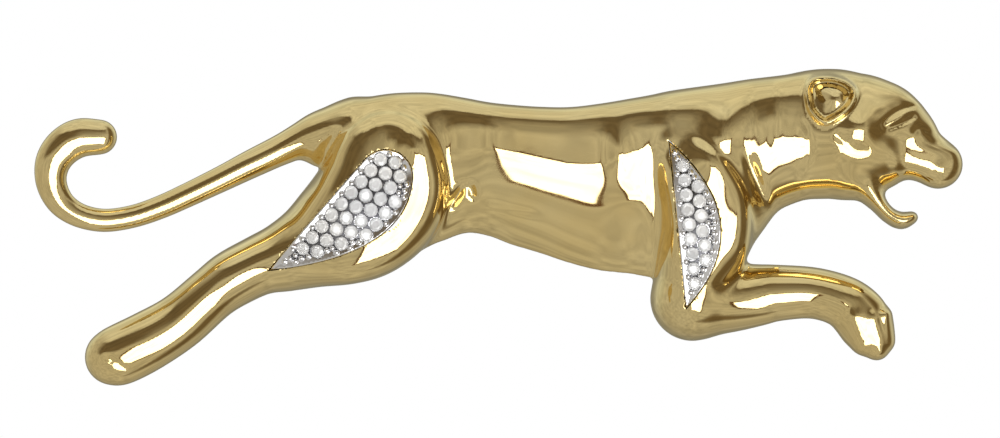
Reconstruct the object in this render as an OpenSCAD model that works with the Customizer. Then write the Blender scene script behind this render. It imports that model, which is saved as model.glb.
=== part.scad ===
// Running-panther brooch: a hollow-backed gold casting with two stone-set white-gold plates,
// and on its back a hinged pin stem that closes into a catch with a turning lock.
// The figure is drawn on a sketch plane: sketch x runs from tail to head, sketch z runs up,
// and depth runs forward from the flat back. The part's own frame has +X to the head,
// +Z up and +Y towards the garment, with its origin on the pin stem's axis.

/* [Figure] */
// Thickness of the gold shell round the hollow in the trunk
shell_wall = 1.2; // [0.8:0.1:1.6]
// Facets round each rounded mass of the figure
figure_fn = 18; // [14:2:20]

/* [Plates] */
// Thickness of the white-gold plates
plate_t = 0.9; // [0.7:0.05:1.1]
// Gap left round a plate in its recess
recess_gap = 0.03; // [0.02:0.01:0.06]
// Radius of the dome that the haunch plate is cut from
haunch_dome_r = 16; // [14:0.5:20]
// Radius of the dome that the shoulder plate is cut from
shoulder_dome_r = 14; // [13:0.5:18]

/* [Stones] */
// Girdle diameter of the stones
stone_d = 0.96; // [0.8:0.02:1]
// Distance between the stones in a row; the rows are staggered by half of it
stone_pitch = 1.04; // [1.02:0.01:1.1]

/* [Pin and hinge] */
// Diameter of the pin stem's working length
stem_d = 0.9; // [0.8:0.05:1]
// Length of the pin stem's plain cylinder, from its root to its slow taper before the catch
stem_len = 26; // [25:0.5:26]
// Height of the stem's axis above the flat back
stem_height = 2.7; // [2.6:0.05:3]
// Outside diameter of the stem's knuckle
knuckle_d = 2; // [1.8:0.05:2.2]
// Width of the knuckle between the hinge ears
knuckle_w = 1.2; // [1:0.05:1.3]
// Diameter of the hinge rivet
rivet_d = 0.84; // [0.7:0.02:0.9]

/* [Catch] */
// Length of the catch housing along the stem
catch_len = 2.4; // [2:0.1:2.4]
// Bore of the catch housing
catch_bore_d = 2.7; // [2.6:0.05:2.8]
// Wall of the catch housing
catch_wall = 0.6; // [0.5:0.05:0.7]
// Width of the mouth that the stem drops through
mouth_w = 1.1; // [1.05:0.05:1.2]

/* [Hidden] */

gold = [0.80, 0.66, 0.36];
white_gold = [0.86, 0.86, 0.88];
stone_colour = [0.93, 0.95, 0.98, 0.8];
$fn = 48;
eps = 0.01;
running_gap = 0.05;

// The part's origin is at the middle of the stem's plain cylinder, behind this point of the sketch plane.
origin_at = [3.3, 4.0];

// Stretches of the back that are hollowed, along sketch x.
hollow_spans = [[-6.6, 12.2], [21.4, 27.4]];

// Each row is a rounded mass of the figure on the sketch plane:
// [x, z, half width, depth of its centre, half depth].
trunk = [
    [-9.6, 5.7, 2.9, 0, 3.9], [-7.6, 3.4, 5.35, 0, 4.6], [-4.7, 3.8, 5.1, 0, 4.4], [-2.4, 3.7, 4.75, 0, 4.2],
    [0.5, 3.3, 4.75, 0, 4.2], [2.6, 2.9, 5.0, 0, 4.3], [4.7, 2.6, 5.3, 0, 4.4],
    [6.8, 2.3, 5.7, 0, 4.5], [8.9, 2.2, 6.1, 0, 4.6], [11.0, 2.4, 6.35, 0, 4.7],
    [12.8, 2.9, 6.0, 0, 4.7], [15.0, 4.0, 5.3, 0, 4.6], [17.6, 5.0, 4.75, 0, 4.5],
    [20.0, 5.6, 4.5, 0, 4.4], [22.6, 6.0, 4.5, 0, 4.5], [24.0, 6.0, 4.4, 0, 4.5],
    [25.4, 6.0, 3.95, 0, 4.2], [27.5, 5.6, 2.8, 0, 3.6], [28.9, 4.9, 2.2, 0, 3.3],
    [30.1, 4.3, 1.85, 0, 3.1], [30.8, 3.85, 1.75, 0, 2.9],
];
chest = [[12.6, 2.0, 4.5, 0, 4.6], [16.3, 1.8, 3.15, 0, 4.3], [15.0, -1.0, 2.7, 0, 4.6]];
lower_jaw = [
    [24.6, 3.4, 2.2, 0, 3.4], [25.8, 2.3, 1.2, 0, 2.6], [26.7, 0.9, 0.65, 0, 2.1],
    [27.4, 0.2, 0.6, 0, 2.1], [28.3, -0.15, 0.65, 0, 2.1], [29.2, 0.1, 0.4, 0, 1.8],
];
hind_leg = [
    [-7.9, 1.9, 5.0, 0, 5.1], [-8.8, 1.1, 4.9, 0, 5.1], [-10.7, -0.5, 4.0, 0, 4.7],
    [-12.9, -1.7, 3.1, 0, 4.2], [-15.0, -2.6, 2.5, 0, 3.8], [-16.8, -3.2, 2.17, 0, 3.5],
    [-18.8, -4.2, 2.08, 0.3, 3.0], [-20.3, -5.3, 1.95, 0.6, 2.5], [-22.5, -7.2, 2.0, 0.8, 2.2],
    [-24.8, -8.6, 2.13, 0.9, 2.2], [-26.6, -9.5, 2.15, 0.9, 2.2], [-27.2, -9.7, 1.95, 0.9, 2.1],
];
foreleg = [
    [14.0, 3.4, 1.6, 0, 4.9], [14.2, 1.8, 2.4, 0, 5.2], [14.2, -1.5, 2.7, 0, 5.3],
    [13.4, -4.2, 2.85, 0, 4.9], [13.9, -5.5, 2.95, 0, 4.4], [16.3, -5.5, 2.5, 0, 3.9],
    [18.1, -5.4, 2.2, 0.2, 3.3], [19.8, -5.2, 2.0, 0.5, 2.7], [22.0, -5.2, 1.82, 0.6, 2.5],
    [24.1, -5.8, 1.85, 0.7, 2.4], [25.3, -6.8, 1.98, 0.7, 2.4], [25.7, -7.5, 1.9, 0.7, 2.3],
    [26.3, -8.4, 1.4, 0.7, 2.0],
];
tail = [
    [-10.4, 6.5, 2.1, 0, 3.3], [-12.8, 6.0, 1.45, 0, 2.4], [-15.2, 4.95, 1.15, 0.4, 1.6],
    [-17.4, 3.95, 1.03, 0.7, 1.3], [-19.5, 2.85, 0.94, 0.8, 1.1], [-21.9, 1.7, 0.88, 0.85, 0.95],
    [-23.8, 0.85, 0.85, 0.85, 0.9], [-25.7, 0.2, 0.83, 0.85, 0.85], [-27.7, -0.1, 0.84, 0.85, 0.85],
    [-29.4, 0.2, 0.87, 0.9, 0.9], [-30.6, 0.9, 0.95, 0.95, 0.95], [-31.3, 1.8, 1.04, 1, 1.05],
    [-31.6, 2.9, 1.13, 1.05, 1.15], [-31.35, 4.1, 1.26, 1.1, 1.25], [-30.6, 5.1, 1.36, 1.1, 1.3],
    [-29.5, 5.7, 1.4, 1.1, 1.35], [-28.0, 5.75, 1.28, 1.1, 1.3],
];
ear = [[23.1, 8.6, 1.5, 2.2, 1.6], [23.8, 8.2, 1.3, 3.2, 1.6], [23.9, 7.6, 0.9, 4.0, 1.0]];
ear_cup = [23.7, 8.3, 0.95, 4.9, 1.5];
brow = [[25.2, 7.3, 1.2, 2.6, 1.6], [27.1, 7.7, 1.75, 0.8, 1.9], [28.4, 7.2, 1.4, 0.6, 1.6]];
eye = [[26.4, 6.3, 0.3, 3.95, 0.5], [28.2, 6.6, 0.3, 3.3, 0.5]];
nostril = [30.9, 4.9, 0.28, 2.9, 0.6];
cheek = [[24.2, 5.2, 1.9, 2.6, 2.2], [26.3, 4.6, 1.5, 2.2, 1.9]];
muzzle = [[29.2, 3.4, 1.25, 1.4, 1.9], [30.7, 3.3, 1.45, 1.2, 1.9]];
toes = [
    [[25.1, -7.2, 0.8, 2.2, 1.1], [25.6, -8.9, 0.6, 1.4, 1.1]],
    [[25.9, -7.2, 0.8, 2.3, 1.1], [26.4, -9.3, 0.6, 1.4, 1.1]],
    [[26.5, -7.0, 0.7, 2.1, 1.1], [27.0, -8.9, 0.5, 1.3, 1.0]],
];

// Plate outlines on the sketch plane: a straight edge, a round end and a long curve.
haunch_tip = [-16.2, -3.6];
haunch_round = [-7.95, 2.95];
haunch_round_r = 1.9;
haunch_bulge = [-6.6, -2.6];
shoulder_top = [11.75, 5.5];
shoulder_foot = [12.95, -6.3];
shoulder_bulge = [18.4, -0.4];
haunch_dome = [-9.6, 1.0, 5.25];
shoulder_dome = [13.7, -0.4, 5.5];

// Stone rows: [offset from the straight edge, distance of the first stone from its start, count].
haunch_rows = [[0.8, 2.72, 9], [1.72, 3.24, 9], [2.64, 4.8, 7], [3.56, 6.36, 4]];
shoulder_rows = [[0.8, 1.84, 9], [1.72, 3.4, 6]];

// Places along the stem's axis.
stem_start = -stem_len / 2;
knuckle_x = stem_start - 1.1;
catch_x = 15;
stem_root_r = 0.62;
taper_x = catch_x + 2;
taper_r = 0.41;
point_len = 2.2;
stem_tip_r = 0.08;
back_y = -stem_height;
pad_t = 0.5;
ear_t = 0.7;
ear_gap = knuckle_w + 2 * running_gap;

function mix(a, b, t) = a + (b - a) * t;
function bezier(a, c, b, t) = mix(mix(a, c, t), mix(c, b, t), t);
function arc(centre, r, from, to, steps) =
    [for (i = [0:steps]) let (a = mix(from, to, i / steps)) centre + r * [cos(a), sin(a)]];
function unit(v) = v / norm(v);
function edge_normal(a, b) = let (d = unit(b - a)) [d[1], -d[0]];

// ---------- placing ----------

// Puts geometry built as [sketch x, sketch z, depth] into the part's frame.
module on_figure() {
    translate([-origin_at[0], back_y, -origin_at[1]])
        multmatrix([[1, 0, 0, 0], [0, 0, -1, 0], [0, 1, 0, 0], [0, 0, 0, 1]])
            children();
}

// ---------- figure ----------

module mass(m, inset = 0) {
    translate([m[0], m[1], m[3]])
        scale([m[2] - inset, m[2] - inset, m[4] - inset])
            sphere(r = 1, $fn = figure_fn);
}

module limb(masses, inset = 0) {
    for (i = [0:len(masses) - 2])
        hull() {
            mass(masses[i], inset);
            mass(masses[i + 1], inset);
        }
}

module figure_form() {
    limb(trunk);
    limb(chest);
    limb(lower_jaw);
    limb(hind_leg);
    limb(foreleg);
    limb(tail);
    limb(ear);
    limb(brow);
    limb(cheek);
    limb(muzzle);
    for (toe = toes)
        limb(toe);
}

// The hollow leaves solid gold at the hip for the hinge and at the neck for the catch.
module hollow_back() {
    intersection() {
        union() {
            limb(trunk, shell_wall);
            limb(hind_leg, shell_wall);
            limb(chest, shell_wall);
        }
        for (x = hollow_spans)
            translate([x[0], -12, -1])
                cube([x[1] - x[0], 24, 8]);
    }
}

module haunch_window() {
    translate([0, 0, -1])
        linear_extrude(6)
            hull() {
                translate([-8.2, 0.4]) circle(r = 1.3);
                translate([-13.2, -2.3]) circle(r = 0.7);
            }
}

module shoulder_window() {
    translate([0, 0, -1])
        linear_extrude(6)
            hull() {
                translate([13.5, 2.6]) circle(r = 0.7);
                translate([13.8, -3.4]) circle(r = 0.8);
            }
}

module panther_body() {
    color(gold)
        on_figure()
            difference() {
                figure_form();
                translate([-50, -50, -20])
                    cube([100, 100, 20]);
                hollow_back();
                haunch_window();
                shoulder_window();
                plate_recess(haunch_dome, haunch_dome_r) haunch_outline();
                plate_recess(shoulder_dome, shoulder_dome_r) shoulder_outline();
                mouth_cut();
                mass(ear_cup);
                limb(eye);
                mass(nostril);
            }
}

// Clears the gap between the jaws that the rounded masses fill.
module mouth_cut() {
    translate([0, 0, -1])
        linear_extrude(8)
            hull() {
                translate([28.4, 1.3]) circle(r = 1.0);
                translate([29.2, 1.4]) circle(r = 0.9);
            }
}

// ---------- plates ----------

module haunch_outline() {
    edge = unit(haunch_round - haunch_tip);
    start = atan2(edge[1], edge[0]) + 97;
    polygon(concat(
        arc(haunch_round, haunch_round_r, start, -10, 14),
        [for (i = [1:12]) bezier(haunch_round + haunch_round_r * [cos(-10), sin(-10)],
                                 haunch_bulge, haunch_tip, i / 12)]
    ));
}

module shoulder_outline() {
    polygon([for (i = [0:16]) bezier(shoulder_top, shoulder_bulge, shoulder_foot, i / 16)]);
}

module dome_ball(dome, r, drop = 0) {
    translate([dome[0], dome[1], dome[2] - r])
        sphere(r = r - drop, $fn = 96);
}

module plate_recess(dome, r) {
    difference() {
        linear_extrude(12)
            offset(delta = recess_gap)
                children();
        dome_ball(dome, r, plate_t + recess_gap);
    }
}

// A dome cut to the outline, with a through seat under every stone.
module plate(dome, r, seats) {
    difference() {
        intersection() {
            linear_extrude(12)
                children();
            dome_ball(dome, r);
        }
        dome_ball(dome, r, plate_t);
        for (seat = seats)
            on_dome(dome, r, seat)
                stone_seat();
    }
}

module haunch_plate() {
    color(white_gold)
        on_figure()
            plate(haunch_dome, haunch_dome_r, haunch_seats())
                haunch_outline();
}

module shoulder_plate() {
    color(white_gold)
        on_figure()
            plate(shoulder_dome, shoulder_dome_r, shoulder_seats())
                shoulder_outline();
}

// ---------- stones ----------

// The stones of one row, along the straight edge from a to b and inside it.
function row_seats(a, b, row, side) =
    let (along = unit(b - a), across = side * edge_normal(a, b))
    [for (i = [0:row[2] - 1]) a + across * row[0] + along * (row[1] + i * stone_pitch)];

haunch_edge_end = haunch_round + haunch_round_r * [cos(135), sin(135)];
function haunch_row(k) = row_seats(haunch_tip, haunch_edge_end, haunch_rows[k], 1);
function shoulder_row(k) = row_seats(shoulder_top, shoulder_foot, shoulder_rows[k], -1);
function haunch_seats() = [for (k = [0:len(haunch_rows) - 1]) each haunch_row(k)];
function shoulder_seats() = [for (k = [0:len(shoulder_rows) - 1]) each shoulder_row(k)];

// Stands its children on a dome at a sketch point, with their z axis along the dome's normal.
module on_dome(dome, r, p) {
    dx = p[0] - dome[0];
    dz = p[1] - dome[1];
    out = norm([dx, dz]);
    translate([dome[0], dome[1], dome[2] - r])
        rotate([0, 0, atan2(dz, dx)])
            rotate([0, asin(out / r), 0])
                translate([0, 0, r])
                    children();
}

module stone_seat() {
    translate([0, 0, -0.16])
        cylinder(h = 2, d = stone_d + 0.04, $fn = 24);
    translate([0, 0, -2])
        cylinder(h = 3, d = stone_d * 0.62, $fn = 24);
}

// A round-cut stone: table, crown, girdle and a pavilion cut short by its seat.
module stone() {
    r = stone_d / 2;
    rotate_extrude($fn = 24)
        polygon([[0, -0.46], [0.04, -0.46], [r * 0.58, -0.17], [r, -0.13], [r, -0.09],
                 [r * 0.58, 0.06], [0, 0.06]]);
}

module stone_row(dome, r, seats) {
    color(stone_colour)
        on_figure()
            for (seat = seats)
                on_dome(dome, r, seat)
                    stone();
}

module haunch_stones(k) {
    stone_row(haunch_dome, haunch_dome_r, haunch_row(k));
}

module shoulder_stones(k) {
    stone_row(shoulder_dome, shoulder_dome_r, shoulder_row(k));
}

// ---------- hinge ----------

module hinge_pad() {
    color(gold)
        translate([knuckle_x + 0.3, back_y, 0])
            rotate([-90, 0, 0])
                cylinder(h = pad_t, r = 2.1);
}

module hinge_ear() {
    linear_extrude(ear_t)
        hull() {
            circle(d = knuckle_d + 0.1);
            translate([-1.2, back_y + pad_t])
                square([2.3, 0.5]);
        }
}

module hinge_bracket() {
    hole_r = rivet_d / 2;
    color(gold)
        translate([knuckle_x, 0, 0])
            difference() {
                union() {
                    for (low = [-ear_gap / 2 - ear_t, ear_gap / 2])
                        translate([0, 0, low])
                            hinge_ear();
                    translate([-1.2, back_y + pad_t, -ear_gap / 2 - ear_t])
                        cube([2.3, 0.6, ear_gap + 2 * ear_t]);
                }
                translate([0, 0, -3])
                    cylinder(h = 6, r = hole_r);
            }
}

module hinge_rivet() {
    half = ear_gap / 2 + ear_t;
    color(gold)
        translate([knuckle_x, 0, 0]) {
            cylinder(h = 2 * half, d = rivet_d, center = true);
            for (side = [-1, 1])
                translate([0, 0, side * half])
                    mirror([0, 0, side < 0 ? 1 : 0])
                        intersection() {
                            cylinder(h = 0.35, r = 0.65);
                            translate([0, 0, -0.45])
                                sphere(r = 0.8);
                        }
        }
}

// ---------- pin stem ----------

module pin_stem() {
    color(gold)
        difference() {
            union() {
                translate([knuckle_x, 0, 0])
                    cylinder(h = knuckle_w, d = knuckle_d, center = true);
                rotate([0, 90, 0])
                    rotate_extrude()
                        polygon([
                            [0, knuckle_x + 0.6], [stem_root_r, knuckle_x + 0.6],
                            [stem_root_r, stem_start], [stem_d / 2, stem_start],
                            [stem_d / 2, stem_start + stem_len], [taper_r, taper_x],
                            [stem_tip_r, taper_x + point_len],
                            [0, taper_x + point_len + stem_tip_r],
                        ]);
            }
            translate([knuckle_x, 0, 0])
                cylinder(h = 4, d = rivet_d + 0.06, center = true);
        }
}

// ---------- catch ----------

module catch_pad() {
    color(gold)
        translate([catch_x, back_y, 0])
            rotate([-90, 0, 0])
                cylinder(h = pad_t, r = 2.0);
}

module catch_housing() {
    outer_r = catch_bore_d / 2 + catch_wall;
    color(gold)
        translate([catch_x, 0, 0])
            difference() {
                union() {
                    rotate([0, 90, 0])
                        cylinder(h = catch_len, r = outer_r, center = true);
                    translate([-catch_len / 2, back_y + pad_t, -1.3])
                        cube([catch_len, 1.6, 2.6]);
                }
                rotate([0, 90, 0])
                    cylinder(h = 10, d = catch_bore_d, center = true);
                translate([-5, 0, -mouth_w / 2])
                    cube([10, 10, mouth_w]);
            }
}

// The turning lock: a slotted sleeve with a flange at each end and a thumb lever on one.
module catch_rotor() {
    core_r = catch_bore_d / 2 - running_gap;
    flange_t = 0.35;
    flange_r = catch_bore_d / 2 + 0.35;
    slot_w = mouth_w - 0.06;
    near = catch_len / 2 + running_gap;
    lever_angle = -50;
    color(gold)
        translate([catch_x, 0, 0])
            difference() {
                union() {
                    rotate([0, 90, 0])
                        cylinder(h = 2 * (near + eps), r = core_r, center = true);
                    for (low = [near, -near - flange_t])
                        translate([low, 0, 0])
                            rotate([0, 90, 0])
                                cylinder(h = flange_t, r = flange_r);
                    rotate([lever_angle, 0, 0]) {
                        translate([near, 1.2, -0.3])
                            cube([flange_t, 1.6, 0.6]);
                        translate([near + flange_t / 2, 2.8, 0])
                            sphere(r = 0.45);
                    }
                }
                rotate([0, 90, 0])
                    cylinder(h = 10, d = slot_w, center = true);
                translate([-5, 0, -slot_w / 2])
                    cube([10, 10, slot_w]);
            }
}

panther_body();
haunch_plate();
shoulder_plate();
haunch_stones(0);  // haunch_stones_row_1
haunch_stones(1);  // haunch_stones_row_2
haunch_stones(2);  // haunch_stones_row_3
haunch_stones(3);  // haunch_stones_row_4
shoulder_stones(0);  // shoulder_stones_row_1
shoulder_stones(1);  // shoulder_stones_row_2
hinge_pad();
hinge_bracket();
hinge_rivet();
pin_stem();
catch_pad();
catch_housing();
catch_rotor();
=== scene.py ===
"""Looks of a running-panther brooch: a polished gold casting, two stone-set plates and a pin.

The figure is drawn on a sketch plane, in mm: sketch x runs from tail to head, sketch z runs
up, and depth runs forward from the flat back. to_part() puts it in the part's own frame."""

import math

import bpy
import numpy as np
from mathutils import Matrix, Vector


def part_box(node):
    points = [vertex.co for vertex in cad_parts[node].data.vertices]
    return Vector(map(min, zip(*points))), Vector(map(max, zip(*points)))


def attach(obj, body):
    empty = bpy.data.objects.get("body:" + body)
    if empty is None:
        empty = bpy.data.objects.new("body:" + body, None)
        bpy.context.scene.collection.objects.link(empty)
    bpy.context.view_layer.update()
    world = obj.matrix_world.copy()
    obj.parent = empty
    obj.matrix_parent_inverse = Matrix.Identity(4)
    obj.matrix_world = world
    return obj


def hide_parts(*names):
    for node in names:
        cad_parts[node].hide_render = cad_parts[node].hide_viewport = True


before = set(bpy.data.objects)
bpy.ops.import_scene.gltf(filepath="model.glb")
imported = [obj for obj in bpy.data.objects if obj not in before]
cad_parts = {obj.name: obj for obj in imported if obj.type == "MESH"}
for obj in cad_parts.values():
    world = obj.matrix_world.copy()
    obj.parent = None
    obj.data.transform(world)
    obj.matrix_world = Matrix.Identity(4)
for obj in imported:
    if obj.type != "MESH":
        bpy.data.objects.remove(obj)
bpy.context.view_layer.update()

MM = 0.001
ORIGIN_X, ORIGIN_Z = 3.3, 4.0                 # the part's origin on the sketch plane
BACK_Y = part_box("panther_body")[1].y / MM     # the flat back


def to_part(p):
    """Sketch points [x, z, depth] in mm, as points of the part's frame in metres."""
    p = np.asarray(p, float)
    return np.stack([p[..., 0] - ORIGIN_X, BACK_Y - p[..., 2], p[..., 1] - ORIGIN_Z], -1) * MM


def turn(n):
    """Sketch directions as directions of the part's frame."""
    return np.stack([n[..., 0], -n[..., 2], n[..., 1]], -1)


# ---------- the figure as a field ----------

GRID_STEP = 0.15       # spacing of the figure's grid, mm
GRID_X, GRID_Z = (-33.5, 33.2), (-12.4, 11.2)
GRID_DEPTH = (-0.53, 6.2)                     # the flat back, at 0, falls between two layers
SPLINE_STEPS = 8       # pieces of a curve between two of its control points
FAR = 1e9
SMALL = 1e-6           # keeps roots and powers off zero
TINY = 1e-9            # and divisors


def spline(rows):
    """Catmull-Rom curve through rows of numbers."""
    p = np.array(rows, float)
    p = np.vstack([2 * p[0] - p[1], p, 2 * p[-1] - p[-2]])
    out = []
    for i in range(1, len(p) - 2):
        for t in np.linspace(0, 1, SPLINE_STEPS, endpoint=False):
            a, b, c, d = p[i - 1:i + 3]
            out.append(0.5 * (2 * b + (c - a) * t + (2 * a - 5 * b + 4 * c - d) * t ** 2
                              + (3 * b - a - 3 * c + d) * t ** 3))
    out.append(p[-2])
    return np.array(out)


def blur(a, mm):
    """Gaussian blur along the first two axes."""
    s = mm / GRID_STEP
    n = int(3 * s) + 1
    k = np.exp(-0.5 * (np.arange(-n, n + 1) / s) ** 2)
    k /= k.sum()
    for ax in (0, 1):
        pad = [(0, 0)] * a.ndim
        pad[ax] = (n, n)
        q = np.pad(a, pad, mode="edge")
        out = 0
        for i, w in enumerate(k):
            sl = [slice(None)] * a.ndim
            sl[ax] = slice(i, i + a.shape[ax])
            out = out + w * q[tuple(sl)]
        a = out
    return a


def limb_field(gx, gz, rows, soft=0.22):
    """What a limb has at each place: the squared distance to its axis over its radius, its
    radius, its centre's depth and its half depth."""
    c = spline(rows)
    best = np.full(gx.shape, FAR)
    out = [np.zeros(gx.shape) for _ in range(4)]
    for a, b in zip(c[:-1], c[1:]):
        abx, abz = b[0] - a[0], b[1] - a[1]
        den = max(abx * abx + abz * abz, TINY)
        t = np.clip(((gx - a[0]) * abx + (gz - a[1]) * abz) / den, 0, 1)
        d = np.hypot(gx - a[0] - t * abx, gz - a[1] - t * abz)
        r = a[2] + t * (b[2] - a[2])
        v = d - r
        m = v < best
        best = np.where(m, v, best)
        out[0] = np.where(m, (d / r) ** 2, out[0])
        out[1] = np.where(m, r, out[1])
        out[2] = np.where(m, a[3] + t * (b[3] - a[3]), out[2])
        out[3] = np.where(m, a[4] + t * (b[4] - a[4]), out[3])
    if soft:
        out = [blur(f, soft) for f in out]
    return out


def ellipse_sdf(field, depth, fullness=None):
    """Distance to a limb. Its section is an ellipse where fullness is 0, and squarer the higher
    fullness is."""
    u, r, c, b = (f[..., None] for f in field)
    w = np.abs(depth - c) / b + SMALL
    v = np.sqrt(u) + SMALL
    n = 2.0 if fullness is None else 2 + fullness[..., None]
    vn, wn = v ** n, w ** n
    q = (vn + wn) ** (1 / n)
    g = q ** (1 - n) * np.sqrt((vn / v / r) ** 2 + (wn / w / b) ** 2)
    return (q - 1) / np.maximum(g, SMALL)


def column_sdf(gx, gz, rows, depth):
    """A form given by its top, ridge and bottom at each x, its depth and how full it is above and
    below the ridge: [x, top, ridge, bottom, depth, fullness above, fullness below]."""
    c = spline(rows)
    x = c[:, 0]
    top, ridge, low, b, n_up, n_dn = (np.interp(gx, x, c[:, k]) for k in range(1, 7))
    v = gz - ridge
    over = np.maximum(np.maximum(x[0] - gx, gx - x[-1]), 0)
    r = np.maximum(np.where(v > 0, top - ridge, ridge - low), 0.3)
    n = np.where(v > 0, n_up, n_dn)[..., None]
    s = (np.hypot(v, over) / r)[..., None] + SMALL
    r, b = r[..., None], b[..., None]
    w = np.abs(depth) / b + SMALL
    sn, wn = s ** n, w ** n
    q = (sn + wn) ** (1 / n)
    g = q ** (1 - n) * np.sqrt((sn / s / r) ** 2 + (wn / w / b) ** 2)
    return (q - 1) / np.maximum(g, SMALL)


def smin(a, b, k):
    """The lower of two fields, with the seam rounded over about k."""
    h = np.maximum(k - np.abs(a - b), 0) / k
    return np.minimum(a, b) - h * h * k * 0.25


def smax(a, b, k):
    """The higher of two fields, with the seam rounded."""
    return -smin(-a, -b, k)


def line_distance(gx, gz, pts):
    """Distance to a curve, and how far along it (0 to 1) the nearest point is."""
    c = spline(pts)
    best = np.full(gx.shape, FAR)
    along = np.zeros(gx.shape)
    n = len(c) - 1
    for i, (a, b) in enumerate(zip(c[:-1], c[1:])):
        ab = b[:2] - a[:2]
        t = np.clip(((gx - a[0]) * ab[0] + (gz - a[1]) * ab[1]) / max(ab @ ab, TINY), 0, 1)
        d = np.hypot(gx - a[0] - t * ab[0], gz - a[1] - t * ab[1])
        m = d < best
        best = np.where(m, d, best)
        along = np.where(m, (i + t) / n, along)
    return best, along


def closed_distance(gx, gz, pts):
    """Distance to a closed curve through some points, negative inside it."""
    ring = spline(pts[-2:] + pts + pts[:2])[2 * SPLINE_STEPS:-SPLINE_STEPS - 1]
    return polygon_distance(gx, gz, ring)


def polygon_distance(px, pz, polygon):
    """Distance to a polygon's outline, negative inside it."""
    best = np.full(px.shape, FAR)
    inside = np.zeros(px.shape, bool)
    for a, b in zip(polygon, np.roll(polygon, -1, axis=0)):
        e = b - a
        wx, wz = px - a[0], pz - a[1]
        t = np.clip((wx * e[0] + wz * e[1]) / max(e @ e, TINY), 0, 1)
        best = np.minimum(best, (wx - t * e[0]) ** 2 + (wz - t * e[1]) ** 2)
        height = e[1] if abs(e[1]) > TINY else TINY
        inside ^= ((a[1] <= pz) != (b[1] <= pz)) & (wx < wz / height * e[0])
    d = np.sqrt(best)
    return np.where(inside, -d, d)


def taper(along, soft=0.25):
    """A share that fades out towards both ends of a curve."""
    e = np.clip(np.minimum(along, 1 - along) / soft, 0, 1)
    return e * e * (3 - 2 * e)


# The trunk: x, top, ridge, bottom, depth, fullness above and below the ridge.
TRUNK = [
    [-12.4, 7.25, 5.4, 3.6, 2.0, 2.2, 2.0], [-11.2, 7.9, 5.4, 1.5, 2.8, 2.6, 2.0],
    [-9.8, 8.45, 5.2, 0.0, 3.3, 3.2, 2.0], [-7.7, 8.82, 5.1, -1.5, 3.4, 3.6, 2.0],
    [-5.6, 8.9, 5.0, -2.0, 3.35, 3.8, 2.0], [-4.2, 8.8, 5.0, -1.6, 3.45, 4.0, 1.8],
    [-2.4, 8.5, 5.0, -1.0, 3.9, 4.2, 1.7], [-0.8, 8.2, 4.95, -1.2, 4.3, 4.6, 1.5],
    [0.8, 8.02, 4.65, -1.8, 4.36, 4.8, 1.42], [2.8, 7.88, 4.2, -2.4, 4.24, 5.0, 1.4],
    [4.9, 7.86, 3.8, -3.1, 4.14, 5.0, 1.36],
    [7.0, 8.1, 3.85, -3.62, 4.14, 4.8, 1.36], [9.1, 8.45, 4.6, -3.85, 4.3, 4.4, 1.36],
    [10.5, 8.7, 5.0, -4.1, 4.4, 4.0, 1.5], [12.2, 9.05, 5.0, -4.3, 4.6, 3.6, 2.0],
    [15.4, 9.5, 4.5, -3.8, 4.3, 3.4, 2.0], [17.3, 9.8, 4.5, -1.9, 4.25, 3.4, 1.9],
    [18.5, 9.95, 5.4, -0.4, 4.35, 3.4, 1.8], [19.6, 10.08, 5.7, 0.6, 4.45, 3.4, 1.75],
    [21.7, 10.36, 5.7, 1.4, 4.1, 3.0, 1.8], [23.8, 10.4, 5.8, 1.55, 4.0, 2.6, 2.0],
    [25.4, 10.0, 5.7, 1.7, 3.6, 2.2, 2.0],
]
# The limbs: x, z, radius, centre's depth, half depth.
HEAD = [
    [22.8, 6.0, 4.35, 0, 4.2], [24.2, 6.0, 4.3, 0, 4.5], [25.4, 6.0, 3.95, 0, 4.45],
    [26.4, 5.95, 3.6, 0, 4.1], [27.2, 5.9, 3.25, 0, 3.65], [28.2, 5.5, 2.7, 0, 3.1],
    [29.2, 4.8, 2.1, 0, 2.8], [30.1, 4.3, 1.85, 0, 2.6], [30.8, 3.85, 1.75, 0, 2.4],
]
JAW = [
    [24.4, 3.6, 2.2, 0, 3.4], [25.6, 2.5, 1.3, 0, 2.8], [26.5, 1.2, 0.72, 0, 2.3],
    [27.3, 0.3, 0.62, 0, 2.2], [28.2, -0.12, 0.66, 0, 2.2], [29.0, 0.12, 0.5, 0, 2.0],
]
HIND = [
    [-7.6, 5.2, 2.45, 0, 3.9], [-7.8, 3.6, 4.2, 0, 4.85], [-8.2, 1.9, 4.65, 0, 5.05],
    [-9.4, 0.4, 4.5, 0, 5.0], [-10.8, -0.6, 4.0, 0, 4.7], [-12.9, -1.7, 3.1, 0, 4.2],
    [-15.0, -2.6, 2.5, 0, 3.7], [-16.8, -3.2, 2.15, 0, 3.4], [-18.8, -4.2, 2.05, 0.2, 3.0],
    [-20.3, -5.3, 1.93, 0.4, 2.6], [-22.5, -7.2, 2.0, 0.6, 2.3], [-24.8, -8.6, 2.13, 0.7, 2.3],
    [-26.6, -9.5, 2.15, 0.7, 2.2], [-27.2, -9.7, 1.98, 0.7, 2.1],
]
SHOULDER = [
    [12.3, 5.0, 1.8, 0, 4.6], [13.2, 3.5, 2.6, 0, 5.15], [14.3, 1.4, 3.25, 0, 5.3],
    [14.5, -0.8, 3.25, 0, 5.25], [14.0, -3.2, 3.0, 0, 5.1], [13.5, -5.6, 2.85, 0, 4.15],
]
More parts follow.
